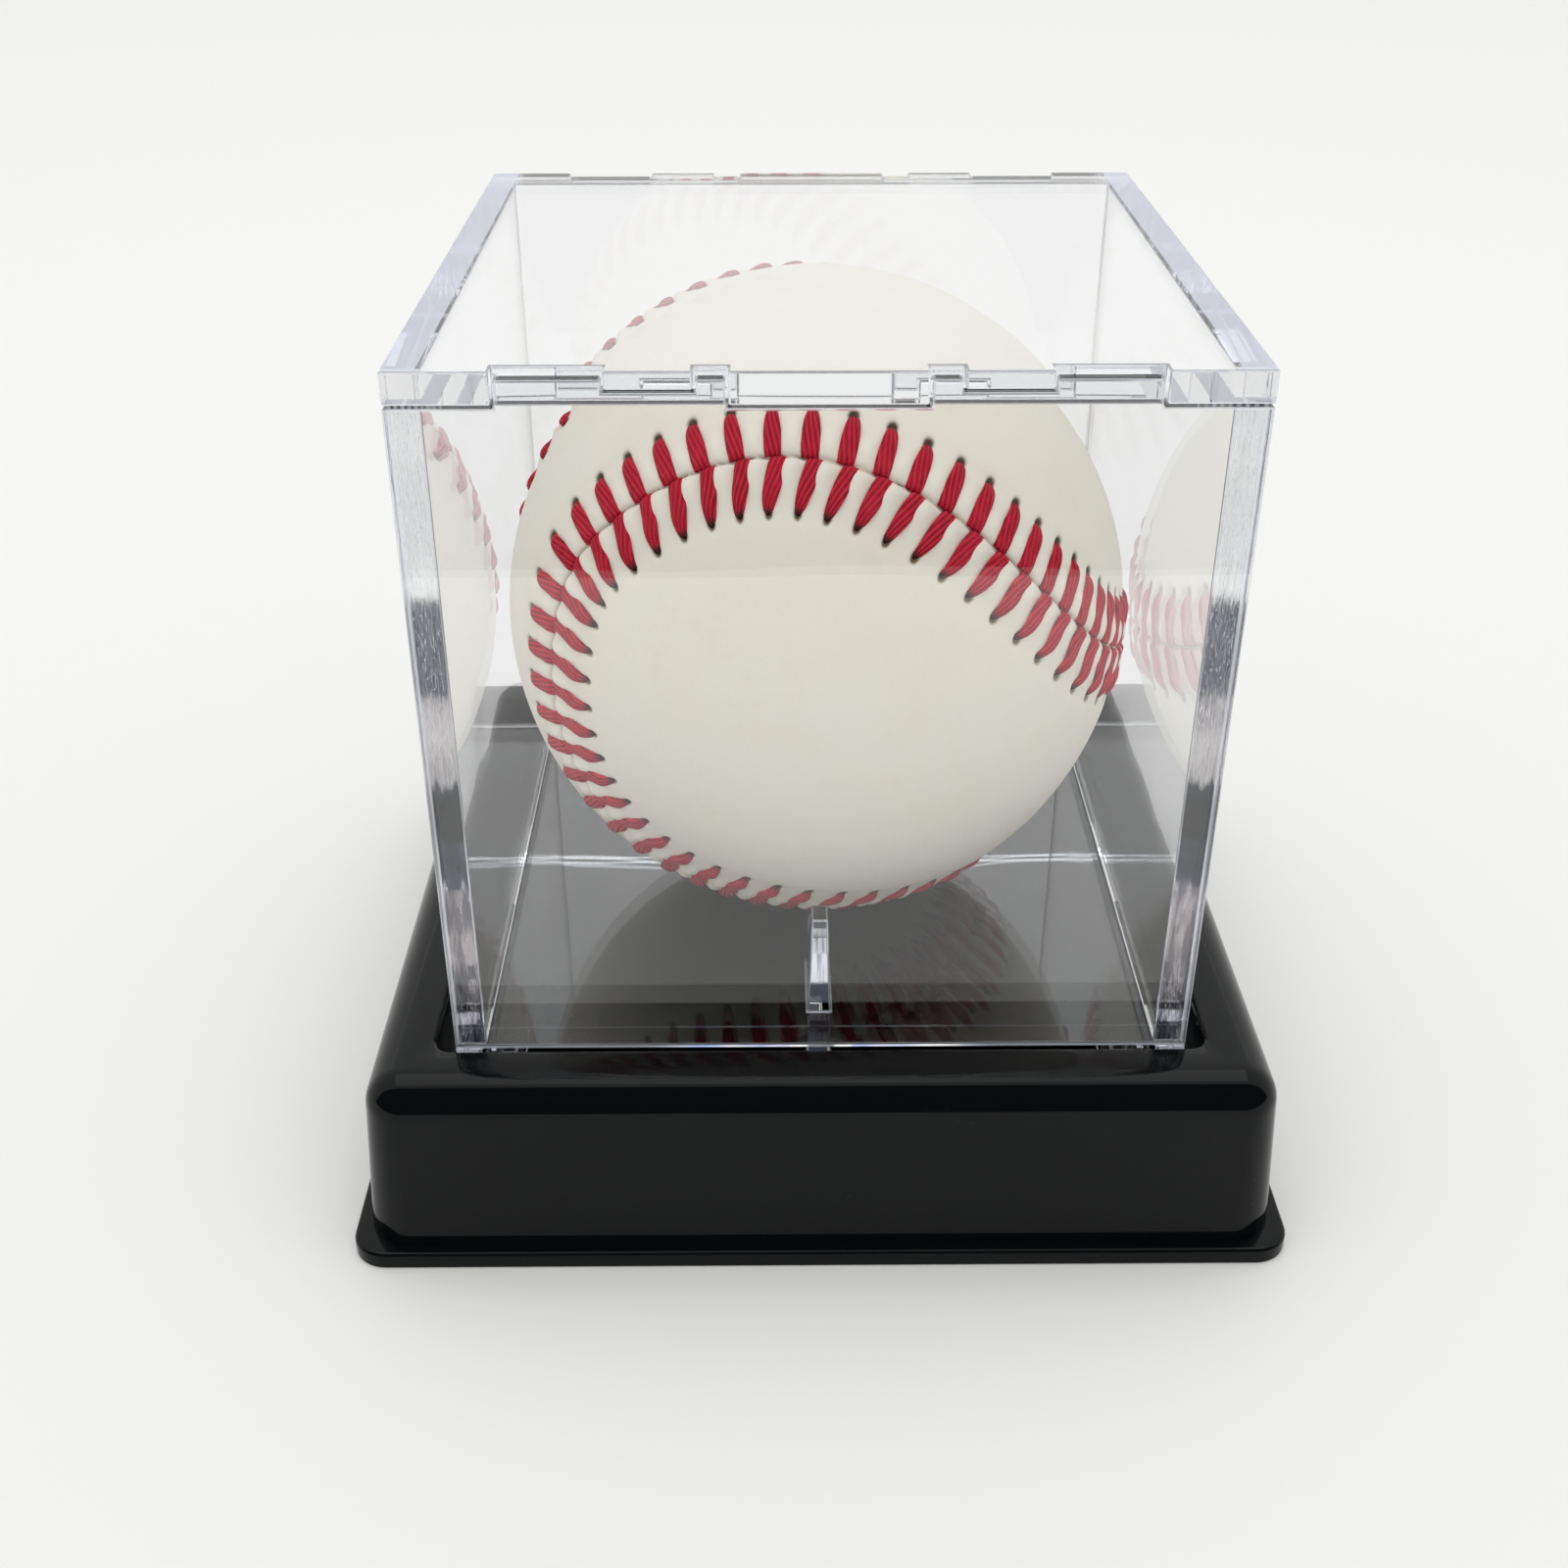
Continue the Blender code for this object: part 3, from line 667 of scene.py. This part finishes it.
def cover_finish(face):
    """The side walls' upright ends are streaked with a painted reflection, their feet matt with a painted
    glow, their tops a pale painted reflection.
    """
    middle = face.calc_center_median()
    if face.normal.z < -0.9 and middle.z < CUBE_LOW.z + 1 * MM:
        return "foot"
    if face.normal.z > 0.9 and middle.z > CUBE_HIGH.z - 0.1 * MM:
        return "top"
    below_lid = middle.z < CUBE_HIGH.z - 4 * MM
    return "end" if abs(face.normal.y) > 0.9 and below_lid else "face"


def lower_finish(face):
    """The cradle ribs' fronts are scuffed with a painted glow and painted dark, and a line at the foot of the
    front wall takes a painted glint.
    """
    middle = face.calc_center_median()
    on_front = face.normal.y < -0.9 and middle.y < -CUBE_INSIDE
    if on_front and GLINT_HEIGHTS[0] < middle.z < GLINT_HEIGHTS[1]:
        return "glint"
    is_inside = abs(middle.x) < 1 * MM and abs(middle.y) < CUBE_INSIDE - 5 * MM
    is_rib = is_inside and middle.z > FLOOR_TOP + 1 * MM
    return "rib" if is_rib and abs(face.normal.y) > 0.9 else "face"


lower = rounded_shell("lower_shell", "clear_lower_shell", lower_finish)
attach(lower, "case_lower")
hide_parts("lower_shell")
cover = rounded_shell("cover_shell", "clear_cover_shell", cover_finish)
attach(cover, "case_cover")
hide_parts("cover_shell")

# %% [markdown]
# ## The seam
#
# A baseball is two equal figure-of-eight panels, and one seam wanders round the ball between
# them. Its path has a formula: the latitude swings as a cosine while the longitude runs on with
# a wobble. The seam is measured off in equal steps, because stitches are evenly spaced, and each
# step keeps three directions: out of the ball, along the seam and across it.

# %% The seam's path
SEAM_LATITUDE = 0.400
SEAM_SWAY = 0.408
SEAM_ANGLES = (-61.6, -7.6, 99.5)
SEAM_TILT = Euler([math.radians(angle) for angle in SEAM_ANGLES], "XYZ").to_matrix()
FINE_STEPS = 40000
STITCHES = 108
STEPS_PER_STITCH = 24


def seam_points(turns):
    """Unit directions from the ball's centre to the seam, for an array of turns from 0 to 1."""
    angle = 4 * math.pi * turns
    polar = math.pi / 2 - (math.pi / 2 - SEAM_LATITUDE) * np.cos(angle)
    round_axis = angle / 2 + SEAM_SWAY * np.sin(2 * angle)
    points = np.stack(
        [np.sin(polar) * np.cos(round_axis), np.sin(polar) * np.sin(round_axis), np.cos(polar)], axis=1
    )
    return points @ np.array(SEAM_TILT).T


def unit(vectors):
    return vectors / np.linalg.norm(vectors, axis=1, keepdims=True)


fine_turns = np.linspace(0.0, 1.0, FINE_STEPS + 1)
fine_points = seam_points(fine_turns)
run = np.concatenate([[0.0], np.cumsum(np.linalg.norm(np.diff(fine_points, axis=0), axis=1))])
STEPS = STITCHES * STEPS_PER_STITCH
even_turns = np.interp(np.arange(STEPS) * run[-1] / STEPS, run, fine_turns)
seam_out = seam_points(even_turns)
seam_along = unit(np.roll(seam_out, -1, axis=0) - np.roll(seam_out, 1, axis=0))
seam_across = np.cross(seam_out, seam_along)
PITCH = run[-1] * LEATHER_RADIUS / STITCHES
print("seam", round(run[-1] * LEATHER_RADIUS / MM, 1), "mm, a stitch every", round(PITCH / MM, 2), "mm")

# %% [markdown]
# ## How the leather lies
#
# The panels' edges are pulled together by the thread. Each edge rolls down into the seam, puffs up
# between two stitches and is pinched under each one, and every stitch ends in a small hole. One
# formula gives the leather's height from how far a point is across the seam and where it is
# between two stitches. It shapes the panels, and the stitches use it too, to lie on the leather.

# %% The leather's height
STITCH_REACH = 6.0 * MM
STITCH_LEAN = 0.35 * MM
EDGE_ROLL = 0.70 * MM
PUFF = 0.50 * MM
PINCH = 0.28 * MM
LAP = 0.10 * MM
HOLE_DEPTH = 0.70 * MM
HOLE_LENGTH = 0.75 * MM
HOLE_WIDTH = 0.42 * MM
PUFF_PLACE = 1.7 * MM
PUFF_WIDTH = 1.7 * MM
ROW_DIP = 0.10 * MM
ROW_WIDTH = 1.2 * MM
LAP_WIDTH = 1.3 * MM
FADE_END = 0.6 * MM
FADE_LENGTH = 3.0 * MM


def bell(values, width):
    return np.exp(-((values / width) ** 2))


def wrapped(phase):
    """A place between two stitches, from -0.5 to 0.5, with 0 at the stitch itself."""
    return phase - np.round(phase)


def leather_height(across, phase):
    """Height over the bare ball, in metres; across is signed, and phase counts stitches."""
    distance = np.abs(across)
    beside = wrapped(phase + STITCH_LEAN / PITCH * distance / STITCH_REACH)
    between = 0.5 - 0.5 * np.cos(2 * math.pi * beside)
    inside = np.clip(EDGE_ROLL - distance, 0.0, EDGE_ROLL)
    roll = -(EDGE_ROLL - np.sqrt(np.maximum(EDGE_ROLL**2 - inside**2, 0.0)))
    lip = bell(distance - PUFF_PLACE, PUFF_WIDTH)
    fade = np.clip((STITCH_REACH + FADE_END - distance) / FADE_LENGTH, 0.0, 1.0)
    puff = lip * (PUFF * between - PINCH * (1.0 - between)) * fade
    row = -ROW_DIP * bell(distance - STITCH_REACH, ROW_WIDTH)
    hole = -HOLE_DEPTH * bell(distance - STITCH_REACH, HOLE_LENGTH) * bell(beside * PITCH, HOLE_WIDTH)
    step = -LAP * np.sign(across) * bell(distance, LAP_WIDTH)
    return roll + puff + row + hole + step


# %% [markdown]
# ## The two panels
#
# A ball of even triangles has no poles to pucker at, so the skin starts as an icosphere. Only the
# strip along the seam needs fine triangles: its edges are subdivided twice and the rest is left
# coarse. Each point then looks up its nearest step on the seam and takes its height from there.
# The panels are the same skin with one side of the seam deleted, and a turned-in edge.

# %% The fine skin
SKIN_STRIP = 8.2 * MM
STRIP_MARGIN = 1.0 * MM
HOLE_DARK_PAST = 0.1 * MM
HOLE_DARK_LENGTH = 0.75 * MM
HOLE_DARK_WIDTH = 0.50 * MM
SEAM_SHADE_WIDTH = 0.28 * MM
seam_tree = KDTree(STEPS)
for step, direction in enumerate(seam_out):
    seam_tree.insert(Vector(direction), step)
seam_tree.balance()


def nearest_steps(directions):
    return np.array([seam_tree.find(Vector(direction))[1] for direction in directions])


def seam_coordinates(directions):
    """Signed distance across the seam and place along it in stitches, for unit directions."""
    steps = nearest_steps(directions)
    offset = directions - seam_out[steps]
    across = LEATHER_RADIUS * np.arcsin(np.clip((offset * seam_across[steps]).sum(axis=1), -1, 1))
    ahead = LEATHER_RADIUS * (offset * seam_along[steps]).sum(axis=1)
    return across, steps / STEPS_PER_STITCH + ahead / PITCH


def positions(shape):
    return np.array([vert.co[:] for vert in shape.verts])


shape = bmesh.new()
bmesh.ops.create_icosphere(shape, subdivisions=6, radius=1.0)
for strip in (SKIN_STRIP + STRIP_MARGIN, SKIN_STRIP):
    across, phase = seam_coordinates(unit(positions(shape)))
    near = {vert for vert, distance in zip(shape.verts, np.abs(across)) if distance < strip}
    edges = [edge for edge in shape.edges if near.issuperset(edge.verts)]
    bmesh.ops.subdivide_edges(shape, edges=edges, cuts=1, use_grid_fill=True)
    bmesh.ops.triangulate(shape, faces=[face for face in shape.faces if len(face.verts) > 3])
directions = unit(positions(shape))
across, phase = seam_coordinates(directions)
skin = directions * (LEATHER_RADIUS + leather_height(across, phase))[:, None]
for vert, point in zip(shape.verts, skin):
    vert.co = point
skin_mesh = bpy.data.meshes.new("skin")
shape.to_mesh(skin_mesh)
shape.free()
hole_beside = wrapped(phase + STITCH_LEAN / PITCH) * PITCH
past_hole = np.abs(across) - STITCH_REACH - HOLE_DARK_PAST
# The leather is made darker round each stitch hole.
hole_darkening = bell(past_hole, HOLE_DARK_LENGTH) * bell(hole_beside, HOLE_DARK_WIDTH)
# Painted shade along the groove of the seam.
seam_shade = bell(np.abs(across), SEAM_SHADE_WIDTH)
for name, values in (("hole_dark_map", hole_darkening), ("painted_crease_shade", seam_shade), ("across", across / MM)):
    skin_mesh.attributes.new(name, "FLOAT", "POINT").data.foreach_set("value", values.astype(np.float32))
print("skin", len(skin_mesh.vertices), "points")

# %% [markdown]
# The leather is tanned white and lightly polished: cream, with faint clouds, smudges and pores.
# The maps stored on the skin paint shade along the groove of the seam and darken the leather round
# the stitch holes, a little more on one panel than on the other.

# %% Cream leather
LEATHER = {
    "Base Color": (0.76, 0.72, 0.62, 1),
    "Roughness": 0.5,
    "Specular IOR Level": 0.35,
    "Sheen Weight": 0.08,
}


def attribute(flow, name):
    return flow.node("ShaderNodeAttribute", {"attribute_name": name}, output="Fac")


def leather_finish(name, cream, hole):
    material, flow, shader = new_finish(name, LEATHER)
    cloud = noise(flow, 70.0, 3.0)
    smudge = noise(flow, 160.0, 4.0, 0.6).over(0.62, 0.08)
    pores = cells(flow, 2600.0)
    grain = noise(flow, 1500.0, 3.0, 0.6)
    hole_dark_map = attribute(flow, "hole_dark_map")
    painted_crease_shade = attribute(flow, "painted_crease_shade")
    warm = tuple(c * k for c, k in zip(cream, (0.97, 0.95, 0.90)))
    dull = tuple(c * k for c, k in zip(cream, (0.90, 0.87, 0.80)))
    colour = cloud.blend(warm, cream)
    colour = (smudge * 0.25).blend(colour, dull)
    # Painted shade along the groove of the seam, from the skin's map.
    colour = (painted_crease_shade * 0.7).blend(colour, (0.42, 0.33, 0.26))
    # Darker leather round each stitch hole, from the skin's map.
    colour = (hole_dark_map * 1.25).over(0.45, 0.30).blend(colour, hole)
    bumps = relief(flow, pores * 0.6 + grain * 0.7, 0.06 * MM, 0.55)
    feed(flow, shader, Base_Color=colour, Roughness=0.46 + 0.14 * grain, Normal=bumps)
    return material


leather_a = leather_finish("cream_leather_a", (0.79, 0.755, 0.66), (0.10, 0.065, 0.035))
leather_b = leather_finish("cream_leather_b", (0.78, 0.745, 0.65), (0.19, 0.13, 0.07))
print("finishes", leather_a.name, leather_b.name)

# %% Each panel keeps one side of the skin
EDGE_TURN_IN = 0.97


def panel(name, side, material):
    """One leather panel: the skin on one side of the seam, its edge turned in towards the core."""
    shape = bmesh.new()
    shape.from_mesh(skin_mesh)
    across_layer = shape.verts.layers.float["across"]
    away = [f for f in shape.faces if side * sum(v[across_layer] for v in f.verts) < 0]
    bmesh.ops.delete(shape, geom=away, context="FACES")
    border = [edge for edge in shape.edges if edge.is_boundary]
    pulled = bmesh.ops.extrude_edge_only(shape, edges=border)["geom"]
    for item in pulled:
        if isinstance(item, bmesh.types.BMVert):
            item.co *= EDGE_TURN_IN
    bmesh.ops.translate(shape, vec=BALL_CENTRE, verts=shape.verts)
    return link_piece(shape, name, [material], sharp_over=60)


panel_a = panel("leather_panel_a", 1.0, leather_a)
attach(panel_a, "ball")
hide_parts("ball_cover_a")
panel_b = panel("leather_panel_b", -1.0, leather_b)
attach(panel_b, "ball")
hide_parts("ball_cover_b")

# %% [markdown]
# ## The stitches
#
# Every stitch has two legs, each a flat bundle of waxed red thread that comes out of the seam,
# lies over the puffed edge and dives into its hole. One straight leg is modelled as a short
# tube. All 216 are copies of it, and each copy is laid on the ball by the seam's own directions.

# %% One straight leg
LEG_SIDES = 10
LEG_STEPS = 11
THREAD_WIDTH = 1.95 * MM
THREAD_THICKNESS = 0.80 * MM
shape = bmesh.new()
bmesh.ops.create_cone(shape, cap_ends=True, segments=LEG_SIDES, radius1=0.5, radius2=0.5, depth=1.0)
long_edges = [e for e in shape.edges if abs(e.verts[0].co.z - e.verts[1].co.z) > 0.5]
bmesh.ops.subdivide_edges(shape, edges=long_edges, cuts=LEG_STEPS)
leg_mesh = bpy.data.meshes.new("leg")
shape.to_mesh(leg_mesh)
shape.free()
leg = np.array([v.co[:] for v in leg_mesh.vertices])
leg_t = leg[:, 2] + 0.5
print("leg", len(leg), "points")


# %% Two legs at every stitch
LEG_START = 0.10 * MM
LEG_OVERRUN = 0.35 * MM
SLIP_MEAN = 0.40
SLIP_BY_SIDE = 0.35
TAPER_START = 0.30
TAPER_DEPTH = 0.62
DEEPEST_BED = -0.25 * MM
LEG_LIFT = 0.26 * MM


def lay_leg(number, side):
    """A leg's points on the ball, and how each lies in the thread: along, across and which leg."""
    step = number * STEPS_PER_STITCH
    generator = np.random.default_rng(1000 + 2 * number + (side > 0))
    jitter = generator.uniform(-1.0, 1.0, 4)
    width = THREAD_WIDTH * (1.0 + 0.06 * jitter[0])
    reach = STITCH_REACH + 0.12 * MM * jitter[1]
    lean = STITCH_LEAN + 0.10 * MM * jitter[2]
    slip = (SLIP_MEAN - SLIP_BY_SIDE * side + 0.06 * jitter[3]) * MM
    distance = LEG_START + leg_t * (reach + LEG_OVERRUN - LEG_START)
    ending = np.clip((leg_t - TAPER_START) / (1.0 - TAPER_START), 0.0, 1.0)
    taper = 1.0 - TAPER_DEPTH * ending**2.2 - 0.08 * bell(leg_t, 0.12)
    along = slip * (1.0 - leg_t) - lean * leg_t + leg[:, 0] * width * taper
    across = side * distance
    bed = leather_height(across, np.full_like(across, number) - lean * leg_t / PITCH)
    bed = np.maximum(bed, DEEPEST_BED - 0.9 * MM * bell(leg_t - 1.06, 0.10))
    dive = 0.55 * MM * bell(leg_t - 1.0, 0.09) + 0.20 * MM * bell(leg_t, 0.06)
    height = bed + LEG_LIFT - dive + leg[:, 1] * THREAD_THICKNESS * (0.55 + 0.45 * taper)
    turn = across / LEATHER_RADIUS
    out = seam_out[step] * np.cos(turn)[:, None] + seam_across[step] * np.sin(turn)[:, None]
    points = out * (LEATHER_RADIUS + height)[:, None] + seam_along[step] * along[:, None]
    which = np.full(len(leg), generator.random())
    return points, np.stack([distance / MM, leg[:, 0] * width / MM, which], axis=1)


shape = bmesh.new()
laid = []
for number in range(STITCHES):
    for side in (-1.0, 1.0):
        shape.from_mesh(leg_mesh)
        laid.append(lay_leg(number, side))
points = np.concatenate([points for points, lie in laid]) + np.array(BALL_CENTRE)
lies = np.concatenate([lie for points, lie in laid])
for vert, point in zip(shape.verts, points):
    vert.co = point
bmesh.ops.recalc_face_normals(shape, faces=shape.faces)
print(len(laid), "legs laid")

# %% [markdown]
# The thread is a loose bundle of waxed strands. Each point knows how far along the leg it is, how
# far across it and which leg it is in, so the strands are a sine that winds along the leg, with
# stretched noise for single fibres. The strands also stand up as relief, and the tip carries
# painted shade, where the thread goes into its hole.

# %% Red waxed thread
THREAD = {"Base Color": (0.5, 0.02, 0.04, 1), "Roughness": 0.6, "Specular IOR Level": 0.15}
red_thread, flow, shader = new_finish("red_thread", THREAD)
lie = flow.node("ShaderNodeAttribute", {"attribute_name": "lie"}, output="Vector")
along, across, which = (lie.axis(number) for number in range(3))
twist = (along * 2.2 + across * 11.0 + which * 6.0).math("SINE") * 0.5 + 0.5
lengthwise = flow.node("ShaderNodeCombineXYZ", {}, {0: along * 0.8, 1: across * 3.6, 2: which * 40.0})
fibre = noise(flow, 1.0, 3.0, vector=lengthwise)
strands = twist * 0.65 + fibre * 0.7 - 0.15
# Painted shade at the tip of each leg, where the thread dives into its hole.
tip = along.over(5.75, 0.45)
red = strands.blend((0.16, 0.001, 0.006), (0.72, 0.020, 0.055))
red = (which * 0.25).blend(red, (0.60, 0.02, 0.045))
feed(
    flow,
    shader,
    Base_Color=tip.blend(red, (0.050, 0.018, 0.014)),
    Roughness=0.45 + 0.25 * fibre,
    Normal=relief(flow, strands, 0.22 * MM),
)
stitches = link_piece(shape, "red_stitches", [red_thread], sharp_over=80)
lie_map = stitches.data.attributes.new("lie", "FLOAT_VECTOR", "POINT")
lie_map.data.foreach_set("vector", lies.astype(np.float32).ravel())
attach(stitches, "ball")
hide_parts("ball_thread")

# %% [markdown]
# ## What is inside the ball
#
# The core never shows, but anyone who takes the ball apart finds it: grey wool wound over a red
# rubber pill. Their shapes are right as the frame has them, so they only need their finishes.

# %% Wool and rubber
WOOL = {"Base Color": (0.45, 0.44, 0.42, 1), "Roughness": 0.95, "Sheen Weight": 0.4}
wool, flow, shader = new_finish("grey_wool", WOOL)
winding = noise(flow, 1.0, 2.0, vector=stretched(flow, (1300.0, 90.0, 90.0)))
greys = winding.blend((0.30, 0.29, 0.28), (0.56, 0.55, 0.52))
feed(flow, shader, Base_Color=greys, Normal=relief(flow, winding, 0.4 * MM))
rubber, flow, shader = new_finish("red_rubber", {"Base Color": (0.40, 0.06, 0.05, 1), "Roughness": 0.6})
mould = noise(flow, 400.0, 3.0)
reds = mould.blend((0.30, 0.035, 0.03), (0.46, 0.075, 0.06))
feed(flow, shader, Base_Color=reds, Roughness=0.5 + 0.2 * mould)
for node, finish in (("ball_winding", wool), ("ball_pill", rubber)):
    data = frame["nodes"][node].data
    data.materials.clear()
    data.materials.append(finish)
    print(node, "is", finish.name)
